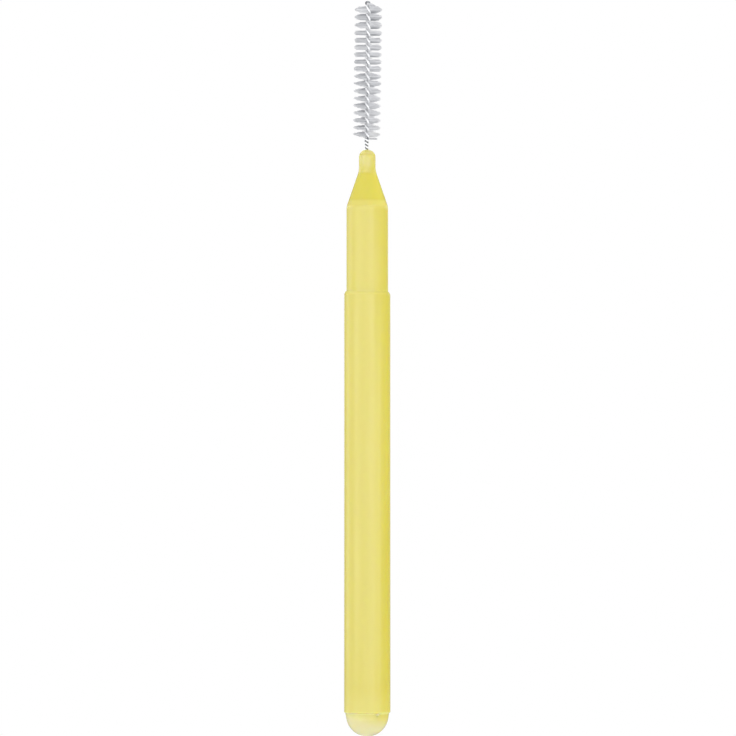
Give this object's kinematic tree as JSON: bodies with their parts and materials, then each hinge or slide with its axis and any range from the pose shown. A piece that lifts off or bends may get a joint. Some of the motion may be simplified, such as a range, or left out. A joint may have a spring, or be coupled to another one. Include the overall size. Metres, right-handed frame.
{
  "type": "interdental brush",
  "caption": "Slim interdental brush: a bristle head wound in twisted wire on a plastic core, with a thin sleeve that is the grip and slides forward to cover the bristles.",
  "frame": {"origin": "centre of the sleeve, on its axis, halfway along it", "axes": "+Z along the object towards the bristles, -Y towards the viewer of the picture, +X to the right"},
  "size_m": [0.005, 0.005, 0.08],
  "materials": {
    "sleeve_plastic": "semi-translucent yellow plastic with a soft gloss",
    "core_plastic": "semi-translucent yellow plastic with a soft gloss",
    "wire_steel": "bright drawn stainless wire",
    "bristle_nylon": "clear nylon filament"
  },
  "bodies": {
    "sleeve": {"sleeve": "sleeve_plastic"},
    "core": {"handle_core": "core_plastic", "twisted_wire": "wire_steel", "bristle_row_01": "bristle_nylon", "bristle_row_02": "bristle_nylon", "bristle_row_03": "bristle_nylon", "bristle_row_04": "bristle_nylon", "bristle_row_05": "bristle_nylon", "bristle_row_06": "bristle_nylon", "bristle_row_07": "bristle_nylon", "bristle_row_08": "bristle_nylon", "bristle_row_09": "bristle_nylon", "bristle_row_10": "bristle_nylon", "bristle_row_11": "bristle_nylon", "bristle_row_12": "bristle_nylon", "bristle_row_13": "bristle_nylon", "bristle_row_14": "bristle_nylon", "bristle_row_15": "bristle_nylon", "bristle_row_16": "bristle_nylon", "bristle_row_17": "bristle_nylon", "bristle_row_18": "bristle_nylon", "stray_bristle": "bristle_nylon"}
  },
  "joints": [
    {"name": "brush_slide", "type": "slide", "parent": "sleeve", "child": "core", "axis": [0, 0, -1], "range_m": [0, 0.0325]}
  ]
}
